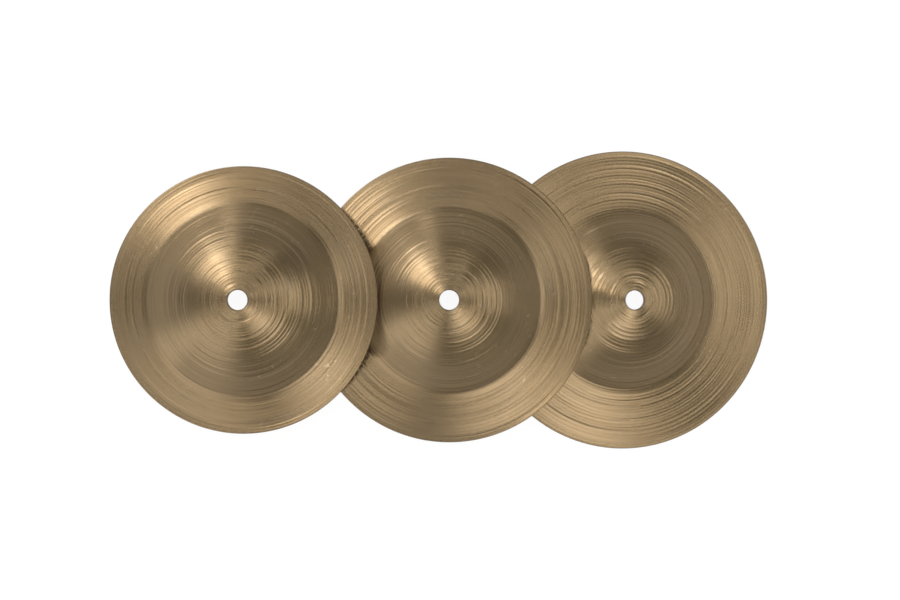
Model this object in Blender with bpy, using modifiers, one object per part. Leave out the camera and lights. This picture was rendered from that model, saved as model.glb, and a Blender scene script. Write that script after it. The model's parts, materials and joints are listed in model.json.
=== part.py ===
"""A set of three bell cymbals, each cast and turned from one piece of bronze.

A cymbal has a tall cup with a flat crown round its bore, and a nearly flat flange.
The three lie overlapped on a table: the large one flat, the middle one leaning on the
large one's cup, and the small one leaning on the middle one's cup, each of the two
with its left edge on the table.

Metres, +Z up. +X runs from the small cymbal to the large one. The origin is on the
table, under the middle of the set.
"""

import math
from dataclasses import dataclass

import bpy
import numpy as np

# Sizes of each cymbal: across the rim, across the cup's foot, and the cup above the flange
SMALL_DIAMETER = 0.1524
SMALL_CUP_DIAMETER = 0.107
SMALL_CUP_HEIGHT = 0.021
MIDDLE_DIAMETER = 0.1651
MIDDLE_CUP_DIAMETER = 0.103
MIDDLE_CUP_HEIGHT = 0.021
LARGE_DIAMETER = 0.1778
LARGE_CUP_DIAMETER = 0.103
LARGE_CUP_HEIGHT = 0.021

# Sizes that the three share
BORE_DIAMETER = 0.0111
CROWN_DIAMETER = 0.019
CROWN_THICKNESS = 0.0026
RIM_THICKNESS = 0.0020
FLANGE_RISE = 0.0012
RIM_LAND_WIDTH = 0.003
EDGE_CHAMFER = 0.0004

# Section of the cup and the flange
CUP_FULLNESS = 2.0
FLANGE_BOW = 1.3
FOOT_FILLET = 0.0035

# How they lie: between rim centres, seen from above, and where one rests on the next
SMALL_TO_MIDDLE = 0.118
MIDDLE_TO_LARGE = 0.107
REST_CLEARANCE = 0.0003

# Fineness of the turned surfaces
STEPS_AROUND = 60
CUP_STATIONS = 10
FOOT_STATIONS = 5
FLANGE_STATIONS = 3

STEEPEST_LEAN = math.radians(45)
LEAN_TRIALS = 40
SLOPE_PROBE = 1e-5

BRONZE_COLOUR = (0.30, 0.215, 0.12, 1.0)
BRONZE_ROUGHNESS = 0.34
SHARP_ANGLE = math.radians(30)


@dataclass
class Cymbal:
    """One cymbal's own sizes, and its place once it has been laid down."""

    name: str
    diameter: float
    cup_diameter: float
    cup_height: float
    x: float = 0.0
    z: float = 0.0
    lean: float = 0.0


def clear_scene():
    for obj in list(bpy.data.objects):
        bpy.data.objects.remove(obj, do_unlink=True)


def under_height(cymbal, radius):
    """Height of the underside above the rim's plane. The cup falls from its crown and
    meets the flange in a soft fillet."""
    crown = CROWN_DIAMETER / 2
    foot = cymbal.cup_diameter / 2
    land = cymbal.diameter / 2 - RIM_LAND_WIDTH
    across_cup = max(radius - crown, 0.0) / (foot - crown)
    across_flange = min(max((radius - foot) / (land - foot), 0.0), 1.0)
    cup = FLANGE_RISE + cymbal.cup_height * (1 - across_cup**CUP_FULLNESS)
    flange = FLANGE_RISE * (1 - across_flange**FLANGE_BOW)
    return (cup + flange + math.hypot(cup - flange, FOOT_FILLET)) / 2


def thickness(cymbal, radius):
    """The casting thins evenly from the bore to the rim."""
    bore = BORE_DIAMETER / 2
    across = (radius - bore) / (cymbal.diameter / 2 - bore)
    return CROWN_THICKNESS + (RIM_THICKNESS - CROWN_THICKNESS) * across


def stations(cymbal):
    """Radii between the crown's edge and the rim's land, closest at the cup's foot."""
    crown = CROWN_DIAMETER / 2
    foot = cymbal.cup_diameter / 2
    land = cymbal.diameter / 2 - RIM_LAND_WIDTH
    cup = np.linspace(crown, foot - FOOT_FILLET, CUP_STATIONS)
    fillet = np.linspace(foot - FOOT_FILLET, foot + FOOT_FILLET, FOOT_STATIONS + 1)
    flange = np.linspace(foot + FOOT_FILLET, land, FLANGE_STATIONS + 1)
    return np.concatenate([cup, fillet[1:], flange[1:]])


def both_faces(cymbal):
    """The underside's points and the upper face's, each a thickness off along the
    surface's normal, from the crown's edge to the rim's land."""
    land = cymbal.diameter / 2 - RIM_LAND_WIDTH
    base = under_height(cymbal, land)
    under, upper = [], []
    for radius in stations(cymbal):
        height = under_height(cymbal, radius) - base
        on_flat = radius <= CROWN_DIAMETER / 2 or radius >= land
        rise = under_height(cymbal, radius + SLOPE_PROBE) - under_height(cymbal, radius - SLOPE_PROBE)
        slope = 0.0 if on_flat else rise / (2 * SLOPE_PROBE)
        wall = thickness(cymbal, radius) / math.hypot(slope, 1)
        under.append((radius, height))
        upper.append((radius - slope * wall, height + wall))
    return under, upper


def section(cymbal):
    """The closed section as (radius, height), clockwise: out along the upper face,
    down the rim, back along the underside and up the bore."""
    bore = BORE_DIAMETER / 2
    rim = cymbal.diameter / 2
    under, upper = both_faces(cymbal)
    crown_low, crown_top = under[0][1], upper[0][1]
    rim_low, rim_top = under[-1][1], upper[-1][1]
    return np.array(
        [(bore, crown_top - EDGE_CHAMFER), (bore + EDGE_CHAMFER, crown_top)]
        + upper
        + [(rim - EDGE_CHAMFER, rim_top), (rim, rim_top - EDGE_CHAMFER)]
        + [(rim, rim_low + EDGE_CHAMFER), (rim - EDGE_CHAMFER, rim_low)]
        + under[::-1]
        + [(bore + EDGE_CHAMFER, crown_low), (bore, crown_low + EDGE_CHAMFER)]
    )


def turned_points(cymbal):
    """Every point of the turned surface, in the cymbal's own frame."""
    radius, height = section(cymbal).T
    around = np.arange(STEPS_AROUND) * 2 * math.pi / STEPS_AROUND
    return np.stack(
        [
            np.outer(np.cos(around), radius).ravel(),
            np.outer(np.sin(around), radius).ravel(),
            np.tile(height, STEPS_AROUND),
        ],
        axis=1,
    )


def to_table(cymbal, points):
    """Points of the cymbal's own frame, as it lies."""
    across, deep, up = points.T
    cos, sin = math.cos(cymbal.lean), math.sin(cymbal.lean)
    return np.stack(
        [cymbal.x + across * cos - up * sin, deep, cymbal.z + across * sin + up * cos],
        axis=1,
    )


def from_table(cymbal, points):
    """The same points again in the cymbal's own frame."""
    across, deep, up = (points - (cymbal.x, 0.0, cymbal.z)).T
    cos, sin = math.cos(cymbal.lean), math.sin(cymbal.lean)
    return np.stack([across * cos + up * sin, deep, up * cos - across * sin], axis=1)


def gap_above(cymbal, points):
    """Least distance from points to the upper face of a cymbal that lies below them,
    negative where one of them is under that face."""
    across, deep, up = from_table(cymbal, points).T
    radius = np.hypot(across, deep)
    face = np.array(both_faces(cymbal)[1])
    rim = (cymbal.diameter / 2, face[-1][1])
    face = np.vstack([face, rim])
    starts, runs = face[:-1], np.diff(face, axis=0)
    offset = np.stack([radius, up], axis=1)[:, None, :] - starts
    share = np.clip((offset * runs).sum(axis=2) / (runs**2).sum(axis=1), 0, 1)
    apart = np.linalg.norm(offset - share[..., None] * runs, axis=2).min(axis=1)
    sunk = (radius < rim[0]) & (up < np.interp(radius, *face.T))
    return np.where(sunk, -apart, apart).min()


def settle(cymbal, lean):
    """Lean the cymbal up to the right, with its lowest point on the table."""
    cymbal.lean = lean
    cymbal.z = 0.0
    cymbal.z = -to_table(cymbal, turned_points(cymbal))[:, 2].min()


def lay_on(cymbal, lower):
    """Find the least lean at which the cymbal rests on the lower one."""
    flattest, steepest = 0.0, STEEPEST_LEAN
    settle(cymbal, flattest)
    if gap_above(lower, to_table(cymbal, turned_points(cymbal))) >= REST_CLEARANCE:
        return
    for _ in range(LEAN_TRIALS):
        settle(cymbal, (flattest + steepest) / 2)
        if gap_above(lower, to_table(cymbal, turned_points(cymbal))) < REST_CLEARANCE:
            flattest = cymbal.lean
        else:
            steepest = cymbal.lean


def lay_out(small, middle, large):
    """Lay the three down from right to left, then centre them over the origin."""
    middle.x = large.x - MIDDLE_TO_LARGE
    lay_on(middle, large)
    small.x = middle.x - SMALL_TO_MIDDLE
    lay_on(small, middle)
    lengths = [to_table(each, turned_points(each))[:, 0] for each in (small, middle, large)]
    centre = (min(map(np.min, lengths)) + max(map(np.max, lengths))) / 2
    for each in (small, middle, large):
        each.x -= centre


def bronze(name):
    material = bpy.data.materials.new(name)
    material.use_nodes = True
    shader = material.node_tree.nodes["Principled BSDF"]
    shader.inputs["Base Color"].default_value = BRONZE_COLOUR
    shader.inputs["Metallic"].default_value = 1.0
    shader.inputs["Roughness"].default_value = BRONZE_ROUGHNESS
    return material


def turn(cymbal, collection):
    """Make the cymbal by turning its section about its own axis."""
    outline = [(radius, 0.0, height) for radius, height in section(cymbal)]
    edges = [(i, (i + 1) % len(outline)) for i in range(len(outline))]
    mesh = bpy.data.meshes.new(cymbal.name)
    mesh.from_pydata(outline, edges, [])
    mesh.materials.append(bronze(cymbal.name + "_bronze"))
    obj = bpy.data.objects.new(cymbal.name, mesh)
    collection.objects.link(obj)
    screw = obj.modifiers.new("turning", "SCREW")
    screw.axis = "Z"
    screw.angle = 2 * math.pi
    screw.steps = STEPS_AROUND
    screw.render_steps = STEPS_AROUND
    screw.use_smooth_shade = True
    turned = bpy.data.meshes.new_from_object(obj.evaluated_get(bpy.context.evaluated_depsgraph_get()))
    obj.modifiers.clear()
    obj.data = turned
    bpy.data.meshes.remove(mesh)
    turned.name = cymbal.name
    turned.shade_smooth()
    turned.set_sharp_from_angle(angle=SHARP_ANGLE)
    obj.location = (cymbal.x, 0.0, cymbal.z)
    obj.rotation_euler = (0.0, -cymbal.lean, 0.0)
    return obj


def main():
    clear_scene()
    collection = bpy.data.collections.new("bell_cymbals")
    bpy.context.scene.collection.children.link(collection)
    small = Cymbal("small_cymbal", SMALL_DIAMETER, SMALL_CUP_DIAMETER, SMALL_CUP_HEIGHT)
    middle = Cymbal("middle_cymbal", MIDDLE_DIAMETER, MIDDLE_CUP_DIAMETER, MIDDLE_CUP_HEIGHT)
    large = Cymbal("large_cymbal", LARGE_DIAMETER, LARGE_CUP_DIAMETER, LARGE_CUP_HEIGHT)
    lay_out(small, middle, large)
    for cymbal in (small, middle, large):
        turn(cymbal, collection)


main()
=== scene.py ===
"""The looks of the three bell cymbals: turned bronze with lathe rings, in a soft studio."""

import json
import math

import bpy
import numpy as np
from mathutils import Matrix, Vector

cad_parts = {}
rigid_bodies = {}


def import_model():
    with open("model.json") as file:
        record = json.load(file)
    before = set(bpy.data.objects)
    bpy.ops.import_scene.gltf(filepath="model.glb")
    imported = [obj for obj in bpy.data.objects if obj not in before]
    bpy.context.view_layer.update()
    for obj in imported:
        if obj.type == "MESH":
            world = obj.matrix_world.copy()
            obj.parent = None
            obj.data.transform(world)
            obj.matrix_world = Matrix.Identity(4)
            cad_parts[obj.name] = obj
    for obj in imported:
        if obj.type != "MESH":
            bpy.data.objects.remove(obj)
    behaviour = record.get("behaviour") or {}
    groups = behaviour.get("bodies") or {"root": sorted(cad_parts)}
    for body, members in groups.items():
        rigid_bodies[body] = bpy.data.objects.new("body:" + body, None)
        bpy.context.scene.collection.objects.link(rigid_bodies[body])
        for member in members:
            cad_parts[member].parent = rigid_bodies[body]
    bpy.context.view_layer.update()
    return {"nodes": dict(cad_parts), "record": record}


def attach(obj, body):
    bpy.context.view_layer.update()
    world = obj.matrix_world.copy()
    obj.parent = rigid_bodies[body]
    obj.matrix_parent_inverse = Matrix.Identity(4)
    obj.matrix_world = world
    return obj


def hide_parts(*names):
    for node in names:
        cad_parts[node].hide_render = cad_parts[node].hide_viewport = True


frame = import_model()

# Fineness of the dressed surfaces
STEPS_AROUND = 216
UPPER_STATIONS = 350
UNDER_STATIONS = 74
EDGE_STATIONS = 4
EDGE_ROUNDING = 0.0004
SAME_RADIUS = 0.00002

# Lathe work: hollows that the tool has left side by side. For each part of the surface, the
# width of a hollow in metres, the slope at its ridge, and how far a ring tilts against the next
CROWN_WORK = (0.0019, 0.31, 0.11)
FOOT_WORK = (0.0015, 0.22, 0.13)
FLANGE_WORK = (0.0018, 0.25, 0.11)
UNDER_WORK = (0.0050, 0.08, 0.0)
# How far the widths differ, the least share of a full ridge, a ring's change on its way round,
# and how often at most it changes in a turn
WIDTH_CHANGE, LEAST_RIDGE, RING_CHANGE, MOST_CHANGES_ROUND = 0.4, 0.3, 0.6, 3
# Where the hollows fade out at the bore and the rim, and pass into the flange's
BORE_EASE, RIM_EASE, FLANGE_EASE = 0.003, 0.002, 0.0025

# Wider, softer waves of the flange: pitch and swell in metres, steps and heights as shares,
# and where outside the cup's foot they begin
WAVE_PITCH, WAVE_SWELL = 0.0060, 0.000020
WAVE_STEPS, LEAST_WAVE = (0.3, 0.9), 0.15
WAVE_START, WAVE_EASE = 0.003, 0.0015

# The cup's foot is the outermost place as steep as this
FOOT_STEEPNESS = 0.3
# The crown falls away from the bore as a very flat cone: its slope, reach and easing
CROWN_CONE, CROWN_REACH, CROWN_EASE = 0.09, 0.012, 0.004

# The camera looks square at the two leaning cymbals. Its place, tilt and lens were fitted to
# the outlines in the photo
CAMERA_PLACE = (-0.1037, 0.0, 0.787)
CAMERA_TILT = math.radians(7.566)
CAMERA_LENS, CAMERA_SENSOR = 53.88, 36.0

# Bronze
BRONZE_TONE = (0.278, 0.204, 0.117, 1.0)
BRONZE_DEEP = (0.240, 0.171, 0.095, 1.0)
# Painted shade: darker colours for thin lines along the bore's edge and the rim's edge
BORE_PAINTED_SHADE = (0.150, 0.102, 0.055, 1.0)
RIM_PAINTED_SHADE = (0.230, 0.163, 0.090, 1.0)
BRONZE_FLECK = (0.400, 0.310, 0.195, 1.0)
# Width of the painted shade lines at the bore and the rim, and how softly they fade
PAINTED_SHADE_LINE, PAINTED_SHADE_SOFTNESS = 0.0003, 0.0004
BRONZE_ROUGHNESS, ROUGHNESS_CHANGE = 0.258, 0.05
BRONZE_ANISOTROPY = 0.93
# The sheen spreads across the grooves, a quarter turn from them, and ends raggedly
ACROSS_GROOVES = 0.25
RAGGEDNESS = 0.25

# Patterns that follow the grooves: repeats per metre across them, per radian along them, and
# a shift that keeps the patterns apart
STREAKS = (700.0, 1.6, 0.0)
BROAD_BANDS = (160.0, 1.2, 40.0)
RAGGED_ENDS = (600.0, 3.0, 120.0)
FLECKS = (420.0, 26.0, 200.0)
SEED_SHIFT = 17.0
# Patterns that don't, in repeats per metre, and where flecks and worn patches begin and are full
CLOUDS, WORN_PATCHES = 45.0, 28.0
FLECK_RANGE, WORN_RANGE = (0.66, 0.76), (0.5, 0.62)
FLECK_STRENGTH = 0.5

FLOOR_RADIUS, FLOOR_STEPS = 4.0, 96
FLOOR_DROP = 0.0002
FLOOR_GLOW, FLOOR_DIFFUSE = 0.94, 0.08

# Soft lamps of the studio: azimuth, elevation, half width and half height in degrees, then
# strength and warmth. All but the warmth were fitted to the photo's tones by a program and
# then rounded. They weren't chosen by hand
LAMPS = (
    (148, 58, 5.5, 13.5, 4.2, 1.0),
    (42, 76, 6.0, 10.0, 2.3, 0.0),
    (243, 81, 5.0, 4.0, 3.5, 0.0),
    (330, 74, 6.0, 4.0, 4.0, 0.3),
    (284, 70, 13.0, 8.0, 3.8, 0.0),
    (202, 68, 15.0, 4.0, 3.1, 0.0),
    (5, 58, 14.0, 6.5, 3.6, 0.0),
    (120, 63, 28.0, 4.0, 2.5, 0.0),
    (135, 40, 21.5, 5.0, 6.7, 0.0),
    (221, 38, 23.0, 17.5, 1.7, 0.0),
    (208, 4, 11.5, 10.0, 1.5, 0.0),
    (107, -3, 8.0, 8.0, 4.5, 0.0),
    (134, 45, 5.0, 12.5, 4.0, 0.0),
    (92, 76, 5.0, 5.0, 2.2, 0.0),
)
# Soft light from everywhere, and more of it from the horizon down
FILL_ALL_ROUND, FILL_LOW, FILL_LOW_HEIGHT = 0.2, 0.8, 0.35
WARM, NEUTRAL = (1.05, 0.97, 0.88), (1.0, 1.0, 1.0)
WHITE = (1.0, 1.0, 1.0, 1.0)


def smooth_curve(xs, ys):
    """A smooth curve through points, as a function: cubic pieces that meet in slope."""
    xs, ys = np.asarray(xs), np.asarray(ys)
    steps = np.diff(xs)
    rates = np.diff(ys) / steps
    slopes = np.empty_like(xs)
    slopes[1:-1] = (rates[:-1] * steps[1:] + rates[1:] * steps[:-1]) / (steps[1:] + steps[:-1])
    slopes[0], slopes[-1] = rates[0], rates[-1]

    def at(x):
        piece = np.clip(np.searchsorted(xs, x) - 1, 0, len(steps) - 1)
        step = steps[piece]
        t = (x - xs[piece]) / step
        start = (1 + 2 * t) * (1 - t) ** 2 * ys[piece] + t * (1 - t) ** 2 * step * slopes[piece]
        end = t**2 * (3 - 2 * t) * ys[piece + 1] + t**2 * (t - 1) * step * slopes[piece + 1]
        return start + end

    return at


def ring_waves(rng, low, high, pitch):
    """Uneven rings between two radii, as a smooth function of the radius from -1 to 1."""
    knots, radius = [low - 2 * pitch], low - 2 * pitch
    while radius < high + 2 * pitch:
        radius += pitch * rng.uniform(*WAVE_STEPS)
        knots.append(radius)
    side = np.where(np.arange(len(knots)) % 2, 1.0, -1.0)
    return smooth_curve(knots, side * rng.uniform(LEAST_WAVE, 1.0, len(knots)))


def hollows(rng, radii, around, places, works):
    """Shallow hollows that the lathe tool has left side by side, each tilted its own way.
    The work passes from one kind to the next between the places. One row per angle."""
    ridges, tops, depths = [places[0]], [0.0], []
    while ridges[-1] < places[-1]:
        width, slope, tilt = (np.interp(ridges[-1], places, column) for column in zip(*works))
        width *= rng.uniform(1 - WIDTH_CHANGE, 1 + WIDTH_CHANGE)
        ridges.append(ridges[-1] + width)
        tops.append(tilt * rng.uniform(-1, 1) * width / 2)
        depths.append(slope * rng.uniform(LEAST_RIDGE, 1) * width / 4)
    ridges = np.array(ridges)
    waves = rng.integers(1, MOST_CHANGES_ROUND + 1, len(ridges))
    starts = rng.uniform(0, 2 * math.pi, len(ridges))
    change = 1 + RING_CHANGE * np.sin(np.outer(around, waves) + starts)
    tops, depths = tops * change, depths * change[:, 1:]
    ring = np.clip(np.searchsorted(ridges, radii) - 1, 0, len(ridges) - 2)
    share = (radii - ridges[ring]) / np.diff(ridges)[ring]
    hollow = 4 * share * (1 - share)
    return tops[:, ring] * (1 - share) + tops[:, ring + 1] * share - depths[:, ring] * hollow


class Lie:
    """Where a packed cymbal lies, and its section, read off its solid."""

    def __init__(self, name):
        mesh = frame["nodes"][name + "_cymbal"].data
        mounts = {mount["name"]: mount for mount in frame["record"]["mounts"]}
        up = Vector(mounts[name + "_felt_seat"]["axis"]).normalized()
        deep = Vector((0.0, 1.0, 0.0))
        turn = np.array((deep.cross(up), deep, up))
        points = np.empty(len(mesh.vertices) * 3)
        mesh.vertices.foreach_get("co", points)
        points = points.reshape(-1, 3)
        middle = points.mean(axis=0)
        local = (points - middle) @ turn.T
        rim_plane = local[:, 2].min()
        local[:, 2] -= rim_plane
        self.matrix = Matrix.Translation(Vector(middle) + up * rim_plane) @ Matrix(turn.T).to_4x4()
        self.radii = np.hypot(local[:, 0], local[:, 1])
        self.heights = local[:, 2]
        self.bore, self.rim = self.radii.min(), self.radii.max()
        facing = np.zeros(len(points))
        for polygon in mesh.polygons:
            lift = Vector(polygon.normal).dot(up)
            for index in polygon.vertices:
                facing[index] += lift
        self.upper = self.face(facing > 0)
        self.under = self.face(facing < 0)

    def face(self, chosen):
        """One face's section between its edges: radii and heights, from bore to rim."""
        margin = EDGE_ROUNDING / 2
        inside = chosen & (self.radii > self.bore + margin) & (self.radii < self.rim - margin)
        order = np.argsort(self.radii[inside])
        radii, heights = self.radii[inside][order], self.heights[inside][order]
        cuts = np.flatnonzero(np.diff(radii) > SAME_RADIUS) + 1
        radii = [group.mean() for group in np.split(radii, cuts)]
        heights = [group.mean() for group in np.split(heights, cuts)]
        return np.array(radii), np.array(heights)


def arc(radius, height, start, stop):
    """Points round an edge's centre, in the section's plane."""
    angles = np.radians(np.linspace(start, stop, EDGE_STATIONS + 1))
    return [
        (radius + EDGE_ROUNDING * math.cos(angle), height + EDGE_ROUNDING * math.sin(angle))
        for angle in angles
    ]


def turned_mesh(name, around, radii, heights):
    """The section's radii turned about local Z. Heights has one row per angle."""
    x = np.outer(np.cos(around), radii)
    y = np.outer(np.sin(around), radii)
    vertices = np.stack([x, y, heights], axis=2).reshape(-1, 3)
    turns, count = len(around), len(radii)
    step, point = np.meshgrid(np.arange(turns), np.arange(count), indexing="ij")
    next_step, next_point = (step + 1) % turns, (point + 1) % count
    corners = [
        step * count + point,
        step * count + next_point,
        next_step * count + next_point,
        next_step * count + point,
    ]
    quads = np.stack(corners, axis=2).reshape(-1, 4)
    mesh = bpy.data.meshes.new(name)
    mesh.from_pydata(vertices.tolist(), [], quads.tolist())
    return mesh


def dressed_mesh(name, lie, rng):
    """The cymbal's own fine surface: its section with rounded edges, turned, with lathe rings."""
    low, high = lie.bore + EDGE_ROUNDING, lie.rim - EDGE_ROUNDING
    steep = np.abs(np.gradient(lie.upper[1], lie.upper[0])) > FOOT_STEEPNESS
    foot = lie.upper[0][steep].max()
    upper_r = np.linspace(low, high, UPPER_STATIONS)
    under_r = np.linspace(high, low, UNDER_STATIONS)
    upper_z, under_z = smooth_curve(*lie.upper)(upper_r), smooth_curve(*lie.under)(under_r)
    upper_z += CROWN_CONE * CROWN_EASE * np.log1p(np.exp((CROWN_REACH - upper_r) / CROWN_EASE))

    around = np.arange(STEPS_AROUND) * 2 * math.pi / STEPS_AROUND
    places = (low, foot, foot + FLANGE_EASE, high)
    works = (CROWN_WORK, FOOT_WORK, FLANGE_WORK, FLANGE_WORK)
    upper_relief = hollows(rng, upper_r, around, places, works)
    on_flange = 1 / (1 + np.exp(-(upper_r - foot - WAVE_START) / WAVE_EASE))
    upper_relief += WAVE_SWELL * ring_waves(rng, low, high, WAVE_PITCH)(upper_r) * on_flange
    under_relief = hollows(rng, under_r, around, (low, high), (UNDER_WORK, UNDER_WORK))

    def fade(radii):
        """No relief at the bore and the rim."""
        return np.clip((radii - low) / BORE_EASE, 0, 1) * np.clip((high - radii) / RIM_EASE, 0, 1)

    section = np.array(
        arc(low, upper_z[0] - EDGE_ROUNDING, 180, 90)[:-1]
        + list(zip(upper_r, upper_z))
        + arc(high, upper_z[-1] - EDGE_ROUNDING, 90, 0)[1:]
        + arc(high, under_z[0] + EDGE_ROUNDING, 0, -90)[:-1]
        + list(zip(under_r, under_z))
        + arc(low, under_z[-1] + EDGE_ROUNDING, -90, -180)[1:]
    )
    first_upper = EDGE_STATIONS
    first_under = first_upper + UPPER_STATIONS + 2 * EDGE_STATIONS
    heights = np.tile(section[:, 1], (STEPS_AROUND, 1))
    heights[:, first_upper : first_upper + UPPER_STATIONS] += upper_relief * fade(upper_r)
    heights[:, first_under : first_under + UNDER_STATIONS] -= under_relief * fade(under_r)
    mesh = turned_mesh(name, around, section[:, 0], heights)
    mesh.transform(lie.matrix)
    mesh.shade_smooth()
    mesh.update()
    return mesh


class Nodes:
    """Short ways to add linked nodes to a tree."""

    def __init__(self, tree):
        self.tree = tree

    def add(self, kind, inputs=(), **settings):
        node = self.tree.nodes.new(kind)
        for key, value in settings.items():
            setattr(node, key, value)
        for key, value in dict(inputs).items():
            if isinstance(value, bpy.types.NodeSocket):
                self.tree.links.new(value, node.inputs[key])
            else:
                node.inputs[key].default_value = value
        return node

    def maths(self, operation, first, second=0.0, third=0.0):
        inputs = {0: first, 1: second, 2: third}
        return self.add("ShaderNodeMath", inputs, operation=operation).outputs[0]

    def dot(self, first, second):
        inputs = {0: first, 1: second}
        return self.add("ShaderNodeVectorMath", inputs, operation="DOT_PRODUCT").outputs["Value"]

    def scaled(self, vector, scale):
        inputs = {0: vector, "Scale": scale}
        return self.add("ShaderNodeVectorMath", inputs, operation="SCALE").outputs[0]

    def summed(self, first, second):
        inputs = {0: first, 1: second}
        return self.add("ShaderNodeVectorMath", inputs, operation="ADD").outputs[0]

    def falling(self, value):
        """1 where the value is 0, and falling towards 0 as the square of the value grows."""
        return self.maths("POWER", math.exp(-1.0), self.maths("MULTIPLY", value, value))

    def step(self, value, start, stop):
        """A soft step of the value, from 0 at the start to 1 at the stop."""
        inputs = {0: value, 1: start, 2: stop, 3: 0.0, 4: 1.0}
        return self.add("ShaderNodeMapRange", inputs, interpolation_type="SMOOTHSTEP").outputs[0]

    def blend(self, share, first, second):
        """One colour passing into another."""
        inputs = {0: share, 6: first, 7: second}
        return self.add("ShaderNodeMix", inputs, data_type="RGBA").outputs[2]

    def noise(self, vector, scale, detail=2.0, roughness=0.5):
        inputs = {"Vector": vector, "Scale": scale, "Detail": detail, "Roughness": roughness}
        return self.add("ShaderNodeTexNoise", inputs).outputs["Fac"]


class Grooves:
    """A cymbal's own place, radius and heading in its material, and patterns along its grooves."""

    def __init__(self, nodes, matrix, seed):
        self.nodes, self.matrix, self.seed = nodes, matrix, seed
        own = {"Location": matrix.to_translation(), "Rotation": matrix.to_euler()}
        own["Vector"] = nodes.add("ShaderNodeTexCoord").outputs["Object"]
        self.place = nodes.add("ShaderNodeMapping", own, vector_type="TEXTURE").outputs[0]
        parts = nodes.add("ShaderNodeSeparateXYZ", {0: self.place}).outputs
        flat = nodes.add("ShaderNodeCombineXYZ", {"X": parts["X"], "Y": parts["Y"]}).outputs[0]
        length = nodes.add("ShaderNodeVectorMath", {0: flat}, operation="LENGTH")
        unit = nodes.add("ShaderNodeVectorMath", {0: flat}, operation="NORMALIZE")
        self.radius, self.heading = length.outputs["Value"], unit.outputs[0]

    def pattern(self, per_metre, per_radian, shift, detail=0.0):
        """Noise with its own rate across the grooves and its own rate along them."""
        shift += self.seed * SEED_SHIFT
        across = self.nodes.maths("MULTIPLY_ADD", self.radius, per_metre, shift)
        lift = self.nodes.add("ShaderNodeCombineXYZ", {"Z": across}).outputs[0]
        place = self.nodes.summed(self.nodes.scaled(self.heading, per_radian), lift)
        return self.nodes.noise(place, 1.0, detail)

    def tangent(self):
        """The direction along the grooves, turned a little ring by ring, so that glints end raggedly."""
        nodes = self.nodes
        inputs = {0: (0, 0, 1), 1: self.heading}
        along = nodes.add("ShaderNodeVectorMath", inputs, operation="CROSS_PRODUCT").outputs[0]
        inputs = {"Vector": along, "Rotation": self.matrix.to_euler()}
        along = nodes.add("ShaderNodeMapping", inputs, vector_type="VECTOR").outputs[0]
        to_world = {"vector_type": "VECTOR", "convert_from": "OBJECT", "convert_to": "WORLD"}
        along = nodes.add("ShaderNodeVectorTransform", {0: along}, **to_world).outputs[0]
        ragged = self.pattern(*RAGGED_ENDS)
        turn = nodes.maths("MULTIPLY_ADD", ragged, RAGGEDNESS, -RAGGEDNESS / 2)
        inputs = {"Vector": along, "Axis": self.matrix.to_3x3().col[2], "Angle": turn}
        return nodes.add("ShaderNodeVectorRotate", inputs, rotation_type="AXIS_ANGLE").outputs[0]


def bronze_colour(nodes, grooves, lie):
    """Two tones in clouds and bands, a few pale flecks of wear, and painted shade along the bore and rim
    edges.
    """
    clouds = nodes.noise(grooves.place, CLOUDS)
    bands = grooves.pattern(*BROAD_BANDS, detail=1.0)
    share = nodes.maths("MULTIPLY_ADD", clouds, 0.5, nodes.maths("MULTIPLY", bands, 0.5))
    colour = nodes.blend(share, BRONZE_TONE, BRONZE_DEEP)
    flecks = nodes.step(grooves.pattern(*FLECKS, detail=1.0), *FLECK_RANGE)
    worn = nodes.step(nodes.noise(grooves.place, WORN_PATCHES), *WORN_RANGE)
    share = nodes.maths("MULTIPLY", nodes.maths("MULTIPLY", flecks, worn), FLECK_STRENGTH)
    colour = nodes.blend(share, colour, BRONZE_FLECK)
    from_bore = nodes.maths("SUBTRACT", grooves.radius, lie.bore)
    from_rim = nodes.maths("SUBTRACT", lie.rim, grooves.radius)
    # Painted shade: a thin darker line along the bore's edge and along the rim's edge
    for distance, painted_shade_colour in ((from_bore, BORE_PAINTED_SHADE), (from_rim, RIM_PAINTED_SHADE)):
        inside = nodes.step(distance, PAINTED_SHADE_LINE, PAINTED_SHADE_LINE + PAINTED_SHADE_SOFTNESS)
        colour = nodes.blend(inside, painted_shade_colour, colour)
    return colour


def turned_bronze(name, lie, seed):
    """Lathe-turned bronze, with its sheen spread across the grooves."""
    material = bpy.data.materials.new(name)
    material.use_nodes = True
    tree = material.node_tree
    nodes = Nodes(tree)
    grooves = Grooves(nodes, lie.matrix, seed)
    streaks = grooves.pattern(*STREAKS)
    least = BRONZE_ROUGHNESS - ROUGHNESS_CHANGE / 2
    roughness = nodes.maths("MULTIPLY_ADD", streaks, ROUGHNESS_CHANGE, least)
    inputs = tree.nodes["Principled BSDF"].inputs
    tree.links.new(bronze_colour(nodes, grooves, lie), inputs["Base Color"])
    tree.links.new(roughness, inputs["Roughness"])
    tree.links.new(grooves.tangent(), inputs["Tangent"])
    inputs["Anisotropic Rotation"].default_value = ACROSS_GROOVES
    inputs["Metallic"].default_value = 1.0
    inputs["Anisotropic"].default_value = BRONZE_ANISOTROPY
    return material


def dress(name, seed):
    """Replace a plain cymbal with its fine surface in turned bronze."""
    lie = Lie(name)
    mesh = dressed_mesh(name + "_bell", lie, np.random.default_rng(seed))
    piece = bpy.data.objects.new(name + "_bell", mesh)
    bpy.context.scene.collection.objects.link(piece)
    mesh.materials.append(turned_bronze(name + "_bronze", lie, seed))
    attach(piece, name)
    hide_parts(name + "_cymbal")
    return piece


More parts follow.
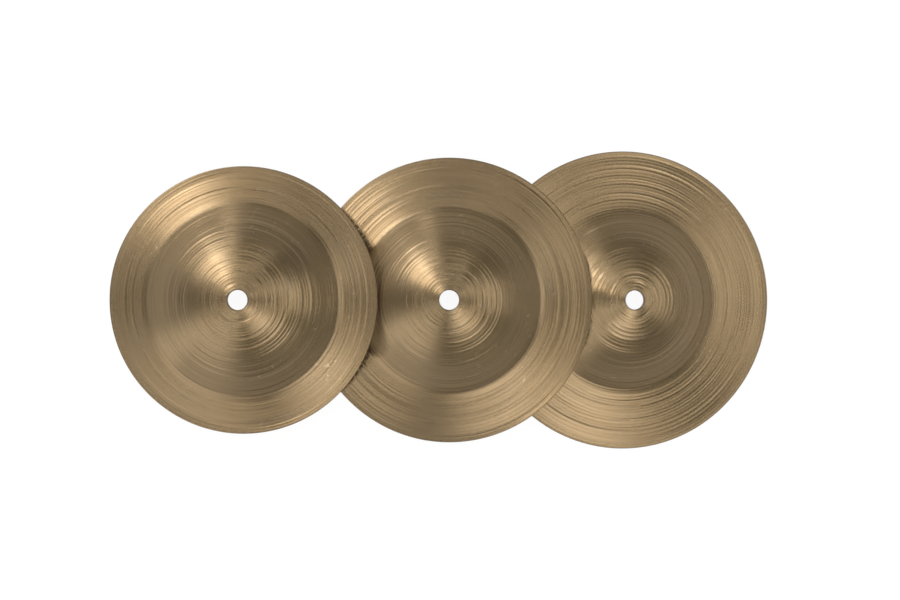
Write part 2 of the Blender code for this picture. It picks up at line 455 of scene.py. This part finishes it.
def lamp_light(nodes, way, azimuth, elevation, wide, tall, strength, warmth):
    """One soft-edged lamp, as light that comes from round its direction."""
    a, e = math.radians(azimuth), math.radians(elevation)
    facing = Vector((math.cos(e) * math.cos(a), math.cos(e) * math.sin(a), math.sin(e)))
    side = Vector((-math.sin(a), math.cos(a), 0.0))
    up = facing.cross(side)
    across = nodes.dot(way, tuple(side / math.sin(math.radians(wide))))
    along = nodes.dot(way, tuple(up / math.sin(math.radians(tall))))
    along_square = nodes.maths("MULTIPLY", along, along)
    glow = nodes.falling(nodes.maths("MULTIPLY_ADD", across, across, along_square))
    front = nodes.maths("GREATER_THAN", nodes.dot(way, tuple(facing)), 0.0)
    shine = nodes.maths("MULTIPLY", nodes.maths("MULTIPLY", glow, front), strength)
    tint = tuple(n + (w - n) * warmth for n, w in zip(NEUTRAL, WARM))
    return nodes.scaled(tint, shine)


def studio():
    """Soft lamps round the set. The camera itself sees plain white beyond the floor."""
    world = bpy.data.worlds.new("studio")
    bpy.context.scene.world = world
    world.use_nodes = True
    world.node_tree.nodes.clear()
    nodes = Nodes(world.node_tree)
    way = nodes.add("ShaderNodeTexCoord").outputs["Generated"]
    height = nodes.dot(way, (0.0, 0.0, 1.0 / FILL_LOW_HEIGHT))
    low = nodes.falling(nodes.maths("MAXIMUM", height, 0.0))
    total = nodes.scaled(NEUTRAL, nodes.maths("MULTIPLY_ADD", low, FILL_LOW, FILL_ALL_ROUND))
    for lamp in LAMPS:
        total = nodes.summed(total, lamp_light(nodes, way, *lamp))
    dome = nodes.add("ShaderNodeBackground", {"Color": total, "Strength": 1.0}).outputs[0]
    plain = nodes.add("ShaderNodeBackground", {"Color": WHITE, "Strength": 1.0}).outputs[0]
    seen = nodes.add("ShaderNodeLightPath").outputs["Is Camera Ray"]
    mixed = nodes.add("ShaderNodeMixShader", {0: seen, 1: dome, 2: plain}).outputs[0]
    nodes.add("ShaderNodeOutputWorld", {"Surface": mixed})


def pale_floor():
    """A floor that is seen and mirrored as nearly white, and otherwise adds almost no light."""
    material = bpy.data.materials.new("floor")
    material.cycles.emission_sampling = "NONE"
    material.use_nodes = True
    material.node_tree.nodes.clear()
    nodes = Nodes(material.node_tree)
    path = nodes.add("ShaderNodeLightPath").outputs
    seen = nodes.maths("MAXIMUM", path["Is Camera Ray"], path["Is Glossy Ray"])
    seen = nodes.maths("MAXIMUM", seen, path["Is Transmission Ray"])
    strength = nodes.maths("MULTIPLY", seen, FLOOR_GLOW)
    glow = nodes.add("ShaderNodeEmission", {"Color": WHITE, "Strength": strength}).outputs[0]
    matt = nodes.add("ShaderNodeBsdfDiffuse", {"Color": (FLOOR_DIFFUSE,) * 3 + (1,)}).outputs[0]
    both = nodes.add("ShaderNodeAddShader", {0: glow, 1: matt}).outputs[0]
    nodes.add("ShaderNodeOutputMaterial", {"Surface": both})
    return material


def floor():
    """A wide round floor just under the set, which keeps the set's soft shadow."""
    bpy.ops.mesh.primitive_circle_add(
        vertices=FLOOR_STEPS, radius=FLOOR_RADIUS, fill_type="NGON"
    )
    obj = bpy.context.object
    obj.name = "floor"
    obj.location.z = -FLOOR_DROP
    obj.data.materials.append(pale_floor())


def camera():
    data = bpy.data.cameras.new("camera")
    data.lens = CAMERA_LENS
    data.sensor_width = CAMERA_SENSOR
    obj = bpy.data.objects.new("camera", data)
    bpy.context.scene.collection.objects.link(obj)
    obj.location = CAMERA_PLACE
    obj.rotation_euler = (0.0, -CAMERA_TILT, 0.0)
    bpy.context.scene.camera = obj


def clear_defaults():
    for obj in list(bpy.data.objects):
        if obj.name in ("Cube", "Light", "Camera"):
            bpy.data.objects.remove(obj)


clear_defaults()
for number, name in enumerate(("small", "middle", "large")):
    dress(name, number + 1)
floor()
studio()
camera()
bpy.context.scene.view_settings.view_transform = "Standard"
